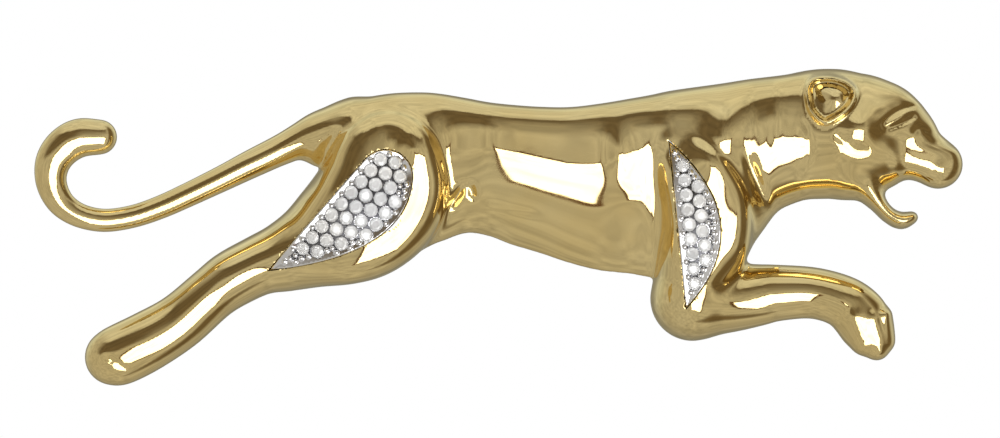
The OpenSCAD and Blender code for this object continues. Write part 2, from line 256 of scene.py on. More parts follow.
FOREARM = [
    [13.6, -5.6, 2.83, 0, 4.6], [16.3, -5.5, 2.45, 0, 3.5], [18.1, -5.35, 2.18, 0.2, 2.72],
    [19.4, -5.2, 2.0, 0.4, 2.4], [22.0, -5.2, 1.82, 0.5, 2.35], [24.1, -5.8, 1.85, 0.7, 2.4],
    [25.2, -6.7, 1.98, 0.7, 2.4], [25.7, -7.5, 1.9, 0.7, 2.3], [26.3, -8.4, 1.45, 0.7, 2.0],
]
TAIL = [
    [-10.4, 6.5, 2.05, 0, 3.2], [-12.8, 6.05, 1.45, 0.2, 2.2], [-15.2, 4.95, 1.13, 0.5, 1.5],
    [-17.4, 3.9, 1.03, 0.7, 1.3], [-19.5, 2.85, 0.94, 0.8, 1.1], [-21.9, 1.7, 0.88, 0.85, 0.95],
    [-23.8, 0.85, 0.85, 0.85, 0.9], [-25.7, 0.2, 0.83, 0.85, 0.85], [-27.7, -0.1, 0.84, 0.85, 0.85],
    [-29.4, 0.2, 0.87, 0.9, 0.9], [-30.6, 0.9, 0.95, 0.95, 0.95], [-31.25, 1.8, 1.04, 1, 1.05],
    [-31.55, 2.9, 1.13, 1.05, 1.15], [-31.35, 4.1, 1.26, 1.1, 1.25], [-30.6, 5.1, 1.36, 1.1, 1.3],
    [-29.5, 5.7, 1.38, 1.1, 1.35], [-28.1, 5.75, 1.25, 1.1, 1.3],
]
CHEST = [[14.5, 2.0, 4.0, 0, 4.2], [16.4, 1.6, 3.0, 0, 4.0], [15.2, -1.0, 2.6, 0, 4.0]]
TOES = [
    [[24.9, -6.9, 0.95, 1.6, 1.7], [25.5, -8.75, 0.75, 1.2, 1.4]],
    [[26.0, -7.0, 0.85, 1.5, 1.6], [26.5, -9.2, 0.65, 1.1, 1.3]],
    [[26.9, -6.8, 0.6, 1.3, 1.5], [27.1, -8.6, 0.5, 1.0, 1.2]],
]
BROW = [[25.2, 7.6, 1.0, 1.6, 2.0], [27.1, 7.75, 1.7, 0.4, 2.6], [28.4, 7.2, 1.3, 0.4, 2.2]]
EAR = [[22.7, 8.5, 1.3, 1.9, 1.9], [23.6, 8.3, 1.3, 2.0, 2.0]]
EAR_EDGE = [[21.3, 9.3], [21.9, 10.0], [23.2, 10.1], [24.4, 9.7], [25.0, 8.9], [24.7, 7.9],
            [23.9, 7.1], [22.6, 6.5], [21.6, 7.3], [21.3, 8.3]]


def mound(gx, gz, x, z, rx, rz, turned=0):
    """A soft oval rise of height 1, turned by some degrees."""
    a = np.radians(turned)
    u = (gx - x) * np.cos(a) + (gz - z) * np.sin(a)
    v = -(gx - x) * np.sin(a) + (gz - z) * np.cos(a)
    return np.exp(-((u / rx) ** 2 + (v / rz) ** 2))


def rise(low, high, v):
    """A soft step from 0 at low to 1 at high."""
    t = np.clip((v - low) / (high - low), 0, 1)
    return t * t * (3 - 2 * t)


def relief(gx, gz):
    """Small forms on the front, as a change of depth."""
    g = np.zeros(gx.shape)

    def groove(pts, width, depth, soft=0.25):
        d, along = line_distance(gx, gz, pts)
        return -depth * np.exp(-(d / width) ** 2) * taper(along, soft)

    # valley between shoulder and neck
    g += groove([[17.0, 5.2], [17.4, 4.0], [17.9, 2.7], [18.5, 1.2], [19.3, 0.1]], 0.45, 0.5, 0.4)
    # line up the side of the neck, and the ruff that stands out in front of it
    g += groove([[21.0, 7.3], [21.5, 6.0], [21.65, 4.7], [21.2, 3.0]], 0.2, 0.1)
    g += 0.5 * mound(gx, gz, 23.7, 5.4, 2.0, 2.2)
    # crease under the tail root
    g += groove([[-11.0, 6.4], [-11.8, 5.2], [-12.8, 3.2], [-14.0, 1.2]], 0.45, 0.4)
    # chevron fold in the flank, and the long low crease that leaves it
    g += groove([[-3.7, 0.5], [-3.0, 1.6], [-2.3, 2.7]], 0.28, 0.48, 0.4)
    g += groove([[-2.3, 2.8], [-2.0, 2.0], [-1.8, 1.2]], 0.26, 0.36, 0.4)
    g += groove([[-1.8, 1.1], [0.5, 0.7], [3.4, 0.2]], 0.3, 0.05)
    # crease behind the shoulder
    g += groove([[11.0, 5.4], [10.9, 3.0], [11.1, 0.0], [11.2, -3.2], [11.3, -5.0]], 0.65, 0.4)
    # rib end beside the shoulder, and the step below it
    g += 0.26 * mound(gx, gz, 8.3, 4.7, 0.7, 1.7)
    g += 0.3 * mound(gx, gz, 9.2, 1.5, 1.6, 1.5, 20)
    # the thigh's rise beside its plate
    g += 0.6 * mound(gx, gz, -5.5, 5.4, 1.5, 2.1)
    # shoulder's rise beside its plate
    g += 0.8 * mound(gx, gz, 15.6, 5.6, 1.4, 2.4, -12)
    g += -0.4 * mound(gx, gz, 16.4, -3.4, 1.5, 2.0)
    # the ear: a raised rim round a bowl
    d = closed_distance(gx, gz, EAR_EDGE)
    g += 0.5 * rise(0.1, -0.2, d) - 1.0 * rise(-0.22, -0.62, d)
    g += 0.75 * mound(gx, gz, 23.4, 8.5, 0.95, 1.05)
    # temple, cheek bone and muzzle
    g += 0.4 * mound(gx, gz, 25.2, 6.4, 1.2, 0.9, -30)
    g += groove([[23.2, 6.2], [24.0, 5.4], [24.9, 4.8], [26.0, 4.9]], 0.35, 0.16)
    g += 0.12 * mound(gx, gz, 29.2, 3.9, 1.5, 0.6, -12)
    g += 0.15 * mound(gx, gz, 30.8, 3.5, 0.5, 0.5)
    # the eye: a leaf between two lids, under the brow
    g += groove([[26.5, 6.3], [27.2, 7.1], [28.3, 7.75], [29.3, 7.95]], 0.2, 0.26, 0.15)
    g += groove([[26.5, 6.2], [27.6, 6.5], [28.5, 6.9], [29.2, 7.3]], 0.18, 0.24, 0.15)
    g += 0.14 * mound(gx, gz, 27.9, 7.1, 0.9, 0.28, 30)
    g += groove([[28.7, 5.9], [29.5, 6.4], [30.3, 5.9]], 0.22, 0.12)
    # wrinkles of the hind paw
    for k in range(3):
        g += groove([[-27.9 + 0.5 * k, -9.6 - 0.3 * k], [-26.9 + 0.5 * k, -9.9 - 0.3 * k]],
                    0.16, 0.09)
    return g


def build(x, z, depths):
    """The whole figure's field on a grid, front and back alike; the back is cut flat later."""
    gx, gz = np.meshgrid(x, z, indexing="ij")
    depth = depths[None, None, :] - relief(gx, gz)[..., None]
    f = column_sdf(gx, gz, TRUNK, depth)
    # how full three of the limbs are, by place
    haunch = 2.0 * rise(-15.0, -10.0, gx)
    upper_leg = 2.0 * rise(-5.0, -2.0, gz)
    muzzle = 0.7 * rise(27.0, 28.6, gx) * rise(5.4, 4.6, gz)
    # each limb, how softly it joins the others, and how full it is
    for rows, k, full in ((HEAD, 0.7, muzzle), (CHEST, 0.7, None), (JAW, 0.5, None),
                          (TAIL, 0.7, None), (BROW, 0.4, None), (HIND, 0.4, haunch),
                          (SHOULDER, 0.4, upper_leg), (FOREARM, 0.6, None), (EAR, 0.3, None)):
        f = smin(f, ellipse_sdf(limb_field(gx, gz, rows), depth, full), k)
    for rows in TOES:
        f = smin(f, ellipse_sdf(limb_field(gx, gz, rows, soft=0), depth), 0.4)
    return f


# ---------- meshes from fields ----------

CORNER_PULL = 0.25     # how far towards its face's middle a corner's normal is read
TO_MEAN = 0.06         # how strongly a vertex keeps to the middle of its crossings
CELL_REACH = 0.6       # how far from there it may move, in grid steps
PROBE = 0.01           # half the distance over which a slope is read, mm


def contour(axes, values, slope):
    """Dual contouring: the quads where values cross zero, with sharp edges kept.

    slope(points) gives the field's unit gradient. Returns the vertices, the quads, their
    corners' normals and the quads' middles."""
    step = axes[0][1] - axes[0][0]
    low = np.array([a[0] for a in axes])
    inside = values < 0
    shape = np.array(values.shape)
    cells, points, quads = [], [], []
    for ax in range(3):
        near = tuple(slice(0, -1) if k == ax else slice(None) for k in range(3))
        far = tuple(slice(1, None) if k == ax else slice(None) for k in range(3))
        i = np.argwhere(inside[near] != inside[far])
        i = i[np.all([(i[:, k] > 0) & (i[:, k] < shape[k] - 1) for k in range(3) if k != ax], 0)]
        va = values[near][tuple(i.T)]
        vb = values[far][tuple(i.T)]
        p = i.astype(float)
        p[:, ax] += va / (va - vb)
        u, v = (ax + 1) % 3, (ax + 2) % 3
        ring = []
        for du, dv in ((0, 0), (-1, 0), (-1, -1), (0, -1)):
            c = i.copy()
            c[:, u] += du
            c[:, v] += dv
            ring.append(np.ravel_multi_index(tuple(c.T), tuple(shape)))
        ring = np.stack(ring, 1)
        ring[va > 0] = ring[va > 0][:, ::-1]
        quads.append(ring)
        points.append(low + p * step)
    quads, points = np.vstack(quads), np.vstack(points)
    normals = slope(points)
    ids, owner = np.unique(quads.ravel(), return_inverse=True)
    n = len(ids)
    edge = np.repeat(np.arange(len(points)), 4)
    count = np.bincount(owner, minlength=n)
    mean = np.stack([np.bincount(owner, points[edge, k], n) / count for k in range(3)], 1)
    off = points[edge] - mean[owner]
    nn = normals[edge]
    along = (nn * off).sum(1)
    a = np.zeros((n, 3, 3))
    b = np.zeros((n, 3))
    for j in range(3):
        b[:, j] = np.bincount(owner, nn[:, j] * along, n)
        for k in range(3):
            a[:, j, k] = np.bincount(owner, nn[:, j] * nn[:, k], n)
    a += np.eye(3) * TO_MEAN
    shift = np.linalg.solve(a, b[..., None])[..., 0]
    vertices = mean + np.clip(shift, -CELL_REACH * step, CELL_REACH * step)
    faces = owner.reshape(-1, 4)
    corners = vertices[faces]
    middle = corners.mean(1, keepdims=True)
    read_at = corners + CORNER_PULL * (middle - corners)
    return vertices, faces, slope(read_at.reshape(-1, 3)), middle[:, 0]


def make_mesh(name, vertices, faces, normals, second):
    """A smooth mesh object from points of the part's frame and its corners' normals; second
    marks the faces that have the second material."""
    mesh = bpy.data.meshes.new(name)
    mesh.vertices.add(len(vertices))
    mesh.vertices.foreach_set("co", np.asarray(vertices, np.float32).ravel())
    mesh.loops.add(faces.size)
    mesh.loops.foreach_set("vertex_index", faces.astype(np.int32).ravel())
    mesh.polygons.add(len(faces))
    mesh.polygons.foreach_set("loop_start", np.arange(0, faces.size, faces.shape[1], np.int32))
    mesh.polygons.foreach_set("use_smooth", np.ones(len(faces), bool))
    mesh.polygons.foreach_set("material_index", np.asarray(second, np.int32))
    mesh.update(calc_edges=True)
    mesh.normals_split_custom_set(np.asarray(normals, np.float32))
    mesh.update()
    obj = bpy.data.objects.new(name, mesh)
    bpy.context.scene.collection.objects.link(obj)
    return obj


def unit(v):
    return v / np.maximum(np.linalg.norm(v, axis=-1, keepdims=True), TINY)


def finite_slope(field):
    """The unit gradient of a field of points, by differences."""
    def slope(p):
        g = np.empty(p.shape)
        for k in range(3):
            q = p.copy()
            q[:, k] += PROBE
            up = field(q)
            q[:, k] -= 2 * PROBE
            g[:, k] = up - field(q)
        return unit(g)
    return slope


def trilinear(cells, p, low):
    """Values of a grid, or of a grid of vectors, at points."""
    q = (p - low) / GRID_STEP
    top = np.array(cells.shape[:3]) - 1.001
    q = np.clip(q, 0, top)
    i = q.astype(int)
    f = q - i
    out = 0
    for dx in (0, 1):
        for dy in (0, 1):
            for dz in (0, 1):
                w = (np.abs(1 - dx - f[:, 0]) * np.abs(1 - dy - f[:, 1])
                     * np.abs(1 - dz - f[:, 2]))
                value = cells[i[:, 0] + dx, i[:, 1] + dy, i[:, 2] + dz]
                out = out + (w[:, None] * value if cells.ndim == 4 else w * value)
    return out


# ---------- plates' outlines, as in the CAD ----------

PLATE_T = 0.9          # thickness
RECESS_GAP = 0.03      # play between a plate and its recess
# Each plate: its dome's top (x, z, depth) and radius, and its rows of stones, each with its
# distance from the straight edge, the first stone's place along it and the number of stones.
HAUNCH = {"dome": (-9.6, 1.0, 5.25), "r": 16.0,
          "rows": [(0.8, 2.72, 9), (1.72, 3.24, 9), (2.64, 4.8, 7), (3.56, 6.36, 4)]}
SHOULDER_PLATE = {"dome": (13.7, -0.4, 5.5), "r": 14.0,
                  "rows": [(0.8, 1.84, 9), (1.72, 3.4, 6)]}
# The haunch plate's leaf has a tip and a round end, and the shoulder plate's has two tips; the
# curved side of each is drawn towards its bulge.
HAUNCH_TIP, HAUNCH_ROUND, HAUNCH_ROUND_R = (-16.2, -3.6), (-7.95, 2.95), 1.9
HAUNCH_BULGE = (-6.6, -2.6)
ROUND_FROM, ROUND_TO = 97, -10     # degrees: from the leaf's own direction, and from sketch x
SHOULDER_TOP, SHOULDER_FOOT, SHOULDER_BULGE = (11.75, 5.5), (12.95, -6.3), (18.4, -0.4)
ROUND_POINTS, HAUNCH_STEPS, SHOULDER_STEPS = 29, 30, 36
STONE_R, STONE_PITCH = 0.48, 1.04


def bezier(a, c, b, steps):
    """A curve from a to b, drawn towards c."""
    t = np.linspace(0, 1, steps + 1)[:, None]
    a, b, c = (np.array(v) for v in (a, b, c))
    return (1 - t) ** 2 * a + 2 * t * (1 - t) * c + t ** 2 * b


def haunch_outline():
    tip, centre = np.array(HAUNCH_TIP), np.array(HAUNCH_ROUND)
    edge = centre - tip
    start = math.degrees(math.atan2(edge[1], edge[0])) + ROUND_FROM
    a = np.radians(np.linspace(start, ROUND_TO, ROUND_POINTS))
    arc = centre + HAUNCH_ROUND_R * np.stack([np.cos(a), np.sin(a)], 1)
    return np.vstack([arc, bezier(arc[-1], HAUNCH_BULGE, tip, HAUNCH_STEPS)[1:]])


def shoulder_outline():
    return bezier(SHOULDER_TOP, SHOULDER_BULGE, SHOULDER_FOOT, SHOULDER_STEPS)


def row_seats(a, b, row, side):
    """Places of one row's stones along the straight edge from a to b."""
    a, b = np.array(a), np.array(b)
    along = (b - a) / np.linalg.norm(b - a)
    across = side * np.array([along[1], -along[0]])
    return [a + across * row[0] + along * (row[1] + i * STONE_PITCH) for i in range(row[2])]


# the haunch plate's straight edge runs from its tip to the upper left of its round end
up_left = np.array([math.cos(math.radians(135)), math.sin(math.radians(135))])
edge_end = np.array(HAUNCH_ROUND) + HAUNCH_ROUND_R * up_left
HAUNCH["outline"] = haunch_outline()
HAUNCH["seats"] = [row_seats(HAUNCH_TIP, edge_end, r, 1) for r in HAUNCH["rows"]]
SHOULDER_PLATE["outline"] = shoulder_outline()
SHOULDER_PLATE["seats"] = [row_seats(SHOULDER_TOP, SHOULDER_FOOT, r, -1)
                           for r in SHOULDER_PLATE["rows"]]


def cone_distance(px, pz, a, ra, b, rb):
    """Distance to the plan shape round two circles."""
    a, b = np.array(a), np.array(b)
    e = b - a
    t = np.clip(((px - a[0]) * e[0] + (pz - a[1]) * e[1]) / (e @ e), 0, 1)
    return np.hypot(px - a[0] - t * e[0], pz - a[1] - t * e[1]) - ra - t * (rb - ra)


def dome_height(x, z, d, plate):
    """Height above a plate's dome."""
    cx, cz, cd = plate["dome"]
    r = plate["r"]
    return np.sqrt((x - cx) ** 2 + (z - cz) ** 2 + (d - cd + r) ** 2) - r


# ---------- the casting ----------

SHELL = 1.2                                            # wall round the hollow
HOLLOWS = [(-6.6, 12.2, -4.4), (21.4, 27.4, 0.5)]      # sketch x from, to, and lowest z
# Each window behind a plate, round two circles: place and radius, twice.
WINDOWS = [((-8.2, 0.4), 1.3, (-13.2, -2.3), 0.7), ((13.5, 2.6), 0.7, (13.8, -3.4), 0.8)]
UNPOLISHED_FROM = 0.5                                  # depth under the figure's skin
BACK_EDGE = 0.12                                       # polished strip next to the flat back
NEAR_RECESS = 0.1


def plan_fields(x, z):
    """What depends only on the place on the sketch plane: plate outlines and windows."""
    return ([polygon_distance(x, z, p["outline"]) for p in (HAUNCH, SHOULDER_PLATE)],
            [cone_distance(x, z, *w) for w in WINDOWS])


def carve(x, z, d, f, plan):
    """The casting's field, from the figure's field f: back, hollow, windows and recesses."""
    outlines, windows = plan
    solid = np.maximum(f, -d)
    for x0, x1, z0 in HOLLOWS:
        inner = np.maximum(np.maximum(f + SHELL, x0 - x), np.maximum(x - x1, z0 - z))
        solid = np.maximum(solid, -inner)
    for w in windows:
        solid = np.maximum(solid, -w)
    for outline, plate in zip(outlines, (HAUNCH, SHOULDER_PLATE)):
        above = dome_height(x, z, d, plate) + PLATE_T + RECESS_GAP
        solid = np.maximum(solid, -np.maximum(outline - RECESS_GAP, -above))
    return solid


def casting():
    """The gold cat: polished outside and in the recesses, as cast inside the hollow."""
    x, z, d = (np.arange(*ends, GRID_STEP) for ends in (GRID_X, GRID_Z, GRID_DEPTH))
    f = build(x, z, d)
    low = np.array([x[0], z[0], d[0]])
    slopes = np.stack(np.gradient(f, GRID_STEP), -1)
    gx, gz = np.meshgrid(x, z, indexing="ij")
    outlines, windows = plan_fields(gx, gz)
    plan = [o[..., None] for o in outlines], [w[..., None] for w in windows]
    values = carve(gx[..., None], gz[..., None], d[None, None, :], f, plan)

    def field(p, value):
        return carve(p[:, 0], p[:, 1], p[:, 2], value, plan_fields(p[:, 0], p[:, 1]))

    def slope(p):
        value = trilinear(f, p, low)
        g = trilinear(slopes, p, low)
        out = np.empty(p.shape)
        for k in range(3):
            q = p.copy()
            q[:, k] += PROBE
            up = field(q, value + PROBE * g[:, k])
            q[:, k] -= 2 * PROBE
            out[:, k] = up - field(q, value - PROBE * g[:, k])
        return unit(out)

    vertices, faces, normals, middle = contour((x, z, d), values, slope)
    rough = (trilinear(f, middle, low) < -UNPOLISHED_FROM) & (middle[:, 2] > BACK_EDGE)
    outline_here, _ = plan_fields(middle[:, 0], middle[:, 1])
    in_recess = np.zeros(len(middle), bool)
    for o, plate in zip(outline_here, (HAUNCH, SHOULDER_PLATE)):
        height = dome_height(middle[:, 0], middle[:, 1], middle[:, 2], plate)
        in_recess |= (o < NEAR_RECESS) & (height > -PLATE_T - NEAR_RECESS)
    return make_mesh("cat_casting", to_part(vertices), faces, turn(normals), rough & ~in_recess)


# ---------- plates ----------

LIP = 0.08             # width of the polished lip, before the bright-cut slope inside it
BEVEL = (0.62, 0.78)   # upward and outward share of the lip's bevel
BEVEL_SOFT = 0.05      # how far the bevel, the field's foot and the beads' feet are rounded
FOOT_SOFT = 0.03
BEAD_SOFT = 0.05
FIELD_DROP = 0.15      # how far the stones' field lies below the rim
BRIGHT_CUT = 0.36      # steepness of the slope cut down from the rim to the stones
CUT_SLANT = 1.06       # length of that slope for each mm across
BEAD_R = 0.2
BEAD_LIFT = 0.02       # how far a bead's centre lies above the field
BEAD_FROM_EDGE = 0.3
BEAD_PITCH = 2.1       # least distance between beads, in bead radii
BEAD_SEARCH = 0.05     # spacing of the places tried for beads
BEAD_OVERLAP = 0.02    # how far a bead may reach over a stone
SEAT_PLAY = 0.02       # gap round a stone in its seat
SEAT_DEPTH = 0.17
SEAT_HOLE_R = 0.3      # the open hole behind each stone
PAINTED_SHADE_BAND = 0.06     # how far from the field's level the metal between the stones is painted dark, as painted shade
PLATE_STEP = 0.075     # grid spacing, mm
MARGIN = 0.3           # free grid round a plate
DEPTH_MARGIN = 0.4     # and in front of it and behind it


def dome_axes(plate, p):
    """Unit axes from the dome's centre through places on the sketch plane."""
    cx, cz, _ = plate["dome"]
    r = plate["r"]
    dx, dz = (p[:, 0] - cx) / r, (p[:, 1] - cz) / r
    return np.stack([dx, dz, np.sqrt(1 - dx ** 2 - dz ** 2)], 1)


def stone_places(plate):
    return np.array([place for row in plate["seats"] for place in row])


def bead_places(plate):
    """Places of the beads, packed into the narrow ends that the stones leave free."""
    outline = plate["outline"]
    stones = stone_places(plate)
    low, high = outline.min(0), outline.max(0)
    x, z = np.meshgrid(np.arange(low[0], high[0], BEAD_SEARCH),
                       np.arange(low[1], high[1], BEAD_SEARCH))
    p = np.stack([x.ravel(), z.ravel()], 1)
    edge = polygon_distance(p[:, 0], p[:, 1], outline)
    gap = np.min(np.linalg.norm(p[:, None] - stones[None], axis=2), 1)
    free = (gap > STONE_R + BEAD_R - BEAD_OVERLAP) & (edge < -BEAD_FROM_EDGE)
    kept = []
    for q in p[free][np.argsort(edge[free])]:
        if all(np.linalg.norm(q - k) > BEAD_PITCH * BEAD_R for k in kept):
            kept.append(q)
    return np.array(kept)


def nearest_axis(v, length, axes):
    """Distance from the nearest of the axes, and height along it."""
    along = v @ axes.T
    best = along.argmax(1)
    h = along[np.arange(len(v)), best]
    return np.sqrt(np.maximum(length ** 2 - h ** 2, 0)), h


def plate_piece(name, plate):
    """A domed plate with its lip, the field for the stones, the beads and the open seats; the field
    between the stones is painted dark, as painted shade.
    """
    cx, cz, cd = plate["dome"]
    r = plate["r"]
    seats = dome_axes(plate, stone_places(plate))
    beads = dome_axes(plate, bead_places(plate))
    outline = plate["outline"]

    def field(p):
        v = p - np.array([cx, cz, cd - r])
        length = np.linalg.norm(v, axis=1)
        h = length - r
        edge = polygon_distance(p[:, 0], p[:, 1], outline)
        solid = np.maximum(np.maximum(edge, h), -(h + PLATE_T))
        solid = smax(solid, BEVEL[0] * h + BEVEL[1] * (edge + LIP), BEVEL_SOFT)
        floor = np.maximum(-FIELD_DROP, BRIGHT_CUT * (edge + LIP))
        bowl = smax(edge + LIP, (floor - h) / CUT_SLANT, FOOT_SOFT)
        solid = np.maximum(solid, -bowl)
        near, up = nearest_axis(v, length, beads)
        bead = np.sqrt(near ** 2 + (up - r + FIELD_DROP - BEAD_LIFT) ** 2) - BEAD_R
        solid = smin(solid, bead, BEAD_SOFT)
        near, up = nearest_axis(v, length, seats)
        up = up - r
        cup = np.maximum(near - STONE_R - SEAT_PLAY, -(up + SEAT_DEPTH))
        hole = np.maximum(near - SEAT_HOLE_R, up)
        return np.maximum(solid, -np.minimum(cup, hole))

    lo = outline.min(0) - MARGIN
    hi = outline.max(0) + MARGIN
    x = np.arange(lo[0], hi[0], PLATE_STEP)
    z = np.arange(lo[1], hi[1], PLATE_STEP)
    far = np.max(np.linalg.norm(outline - np.array([cx, cz]), axis=1))
    depth_low = cd - r + math.sqrt(r * r - far * far) - PLATE_T - DEPTH_MARGIN
    d = np.arange(depth_low, cd + DEPTH_MARGIN, PLATE_STEP)
    g = np.stack(np.meshgrid(x, z, d, indexing="ij"), -1)
    values = field(g.reshape(-1, 3)).reshape(g.shape[:3])
    vertices, faces, normals, middle = contour((x, z, d), values, finite_slope(field))
    v = middle - np.array([cx, cz, cd - r])
    length = np.linalg.norm(v, axis=1)
    near, _ = nearest_axis(v, length, seats)
    slope_end = -LIP - FIELD_DROP / BRIGHT_CUT
    inner = polygon_distance(middle[:, 0], middle[:, 1], outline) < slope_end
    # the field between the stones takes the near-black material: painted shade in the gaps
    painted_shade_faces = inner & (np.abs(length - r + FIELD_DROP) < PAINTED_SHADE_BAND) & (near > STONE_R)
    return make_mesh(name, to_part(vertices), faces, turn(normals), painted_shade_faces)


# ---------- stones ----------

TIPPED = 0.08          # how unevenly the stones sit
SMALLEST = 0.975       # the smallest stone against the largest
ANY_WAY = [0.3, 1.0, 0.1]          # a direction far from every stone's axis


def brilliant(r):
    """A round brilliant cut's points and facets; its girdle is just under height zero."""
    table, girdle, under, culet = 0.07, -0.09, -0.115, -0.46      # heights, mm
    table_r, star_r, lower_r = 0.56, 0.8, 0.3      # shares of the stone's radius
    star_drop = 0.407                              # share of the height from table to girdle
    steps = 2 * math.pi / 16

    def ring(radius, height, first, every):
        return [(radius * math.cos(k * steps), radius * math.sin(k * steps), height)
                for k in range(first, 16, every)]

    star = table - star_drop * (table - girdle)
    lower = culet + (under - culet) * lower_r * math.cos(steps)
    points = (ring(table_r * r, table, 0, 2) + ring(star_r * r, star, 1, 2)
              + ring(r, girdle, 0, 1) + ring(r, under, 0, 1)
              + ring(lower_r * r, lower, 1, 2) + [(0, 0, culet)])
    # the number of each ring's first point: table, star, girdle, under it, lower; and the culet
    t, m, g, u, p, c = 0, 8, 16, 32, 48, 56
    facets = [tuple(range(8))]
    for k in range(8):
        nxt, even, odd, last = (k + 1) % 8, 2 * k, 2 * k + 1, (2 * k + 2) % 16
        facets += [(t + k, m + k, t + nxt), (t + nxt, m + k, g + last, m + nxt),
                   (m + k, g + even, g + odd), (m + k, g + odd, g + last),
                   (g + even, u + even, u + odd, g + odd), (g + odd, u + odd, u + last, g + last),
                   (u + even, p + k, u + odd), (u + odd, p + k, u + last),
                   (u + last, p + k, c, p + nxt)]
    return np.array(points), facets


def stone_row(name, plate, seats, draw):
    """One row of cut stones, each turned and tipped a little."""
    cut, facets = brilliant(STONE_R)
    cx, cz, cd = plate["dome"]
    r = plate["r"]
    points, faces = [], []
    for seat in seats:
        n = np.array([(seat[0] - cx) / r, (seat[1] - cz) / r, 0])
        n[2] = math.sqrt(1 - n[0] ** 2 - n[1] ** 2)
        middle = np.array([cx, cz, cd - r]) + r * n
        n = unit(n + TIPPED * draw.standard_normal(3))
        side = unit(np.cross(n, ANY_WAY))
        other = np.cross(n, side)
        a = draw.uniform(0, math.pi)
        side, other = (math.cos(a) * side + math.sin(a) * other,
                       math.cos(a) * other - math.sin(a) * side)
        first = len(points)
        for q in cut * draw.uniform(SMALLEST, 1.0):
            points.append(middle + q[0] * side + q[1] * other + q[2] * n)
        faces += [tuple(first + i for i in facet) for facet in facets]
    mesh = bpy.data.meshes.new(name)
    mesh.from_pydata([tuple(p) for p in to_part(points)], [], faces)
    mesh.update()
    obj = bpy.data.objects.new(name, mesh)
    bpy.context.scene.collection.objects.link(obj)
    return obj


# ---------- node helpers ----------

def new_material(name):
    """A material with a bare Principled shader, its tree and that shader."""
    material = bpy.data.materials.new(name)
    material.use_nodes = True
    tree = material.node_tree
    tree.nodes.clear()
    out = tree.nodes.new("ShaderNodeOutputMaterial")
    shader = tree.nodes.new("ShaderNodeBsdfPrincipled")
    tree.links.new(shader.outputs["BSDF"], out.inputs["Surface"])
    return material, tree, shader


def object_space(tree):
    return tree.nodes.new("ShaderNodeTexCoord").outputs["Object"]


def noise(tree, vector, scale, detail=3.0, rough=0.55, stretch=None):
    """Noise over a vector, drawn out along one direction if stretch is given."""
    if stretch is not None:
        mapping = tree.nodes.new("ShaderNodeMapping")
        mapping.inputs["Scale"].default_value = stretch
        mapping.inputs["Rotation"].default_value = (0.3, 0.5, 0.4)
        tree.links.new(vector, mapping.inputs["Vector"])
        vector = mapping.outputs["Vector"]
    node = tree.nodes.new("ShaderNodeTexNoise")
    node.inputs["Scale"].default_value = scale
    node.inputs["Detail"].default_value = detail
    node.inputs["Roughness"].default_value = rough
    tree.links.new(vector, node.inputs["Vector"])
    return node.outputs["Fac"]


def ramp(tree, value, stops):
    """A colour ramp; each stop is (place, grey or colour)."""
    node = tree.nodes.new("ShaderNodeValToRGB")
    elements = node.color_ramp.elements
    while len(elements) < len(stops):
        elements.new(0.5)
    for element, (place, tone) in zip(elements, stops):
        element.position = place
        element.color = (*tone, 1) if isinstance(tone, tuple) else (tone, tone, tone, 1)
    tree.links.new(value, node.inputs["Fac"])
    return node.outputs["Color"]


def bump(tree, shader, height, distance):
    node = tree.nodes.new("ShaderNodeBump")
    node.inputs["Strength"].default_value = 1.0
    node.inputs["Distance"].default_value = distance
    tree.links.new(height, node.inputs["Height"])
    tree.links.new(node.outputs["Normal"], shader.inputs["Normal"])


# ---------- materials ----------

RUB_DEPTH, PIT_DEPTH = 6e-7, 6e-5      # m


def metal(name, dark, light, smooth, dull, grain=900):
    """A polished metal: slow colour drift, a roughness between smooth and dull, and fine rub
    marks at the scale grain."""
    material, tree, shader = new_material(name)
    where = object_space(tree)
    shader.inputs["Metallic"].default_value = 1.0
    colour = ramp(tree, noise(tree, where, 160, 3), [(0.3, dark), (0.7, light)])
    tree.links.new(colour, shader.inputs["Base Color"])
    haze = ramp(tree, noise(tree, where, 420, 5, 0.65), [(0.35, smooth), (0.75, dull)])
    tree.links.new(haze, shader.inputs["Roughness"])
    rub = noise(tree, where, grain, 4, 0.6, (1.0, 3.0, 2.2))
    bump(tree, shader, rub, RUB_DEPTH)
    return material


def as_cast(name):
    """The unpolished inside of the casting: matte, pitted and darker."""
    material, tree, shader = new_material(name)
    where = object_space(tree)
    shader.inputs["Metallic"].default_value = 1.0
    blotch = noise(tree, where, 260, 6, 0.7)
    tree.links.new(ramp(tree, blotch, [(0.3, (0.46, 0.33, 0.13)), (0.72, (0.72, 0.54, 0.24))]),
                   shader.inputs["Base Color"])
    tree.links.new(ramp(tree, blotch, [(0.3, 0.5), (0.8, 0.32)]), shader.inputs["Roughness"])
    bump(tree, shader, noise(tree, where, 1500, 6, 0.7), PIT_DEPTH)
    return material


def stone_material(name):
    """Colourless cut stone, partly clear, with a very slight tint drift from stone to stone."""
    material, tree, shader = new_material(name)
    shader.inputs["Transmission Weight"].default_value = 0.62
    shader.inputs["IOR"].default_value = 2.3
    where = object_space(tree)
    tint = ramp(tree, noise(tree, where, 300, 1),
                [(0.3, (0.97, 0.98, 1.0)), (0.7, (1.0, 0.99, 0.97))])
    tree.links.new(tint, shader.inputs["Base Color"])
    tree.links.new(ramp(tree, noise(tree, where, 700, 2), [(0.4, 0.0), (0.9, 0.03)]),
                   shader.inputs["Roughness"])
    return material


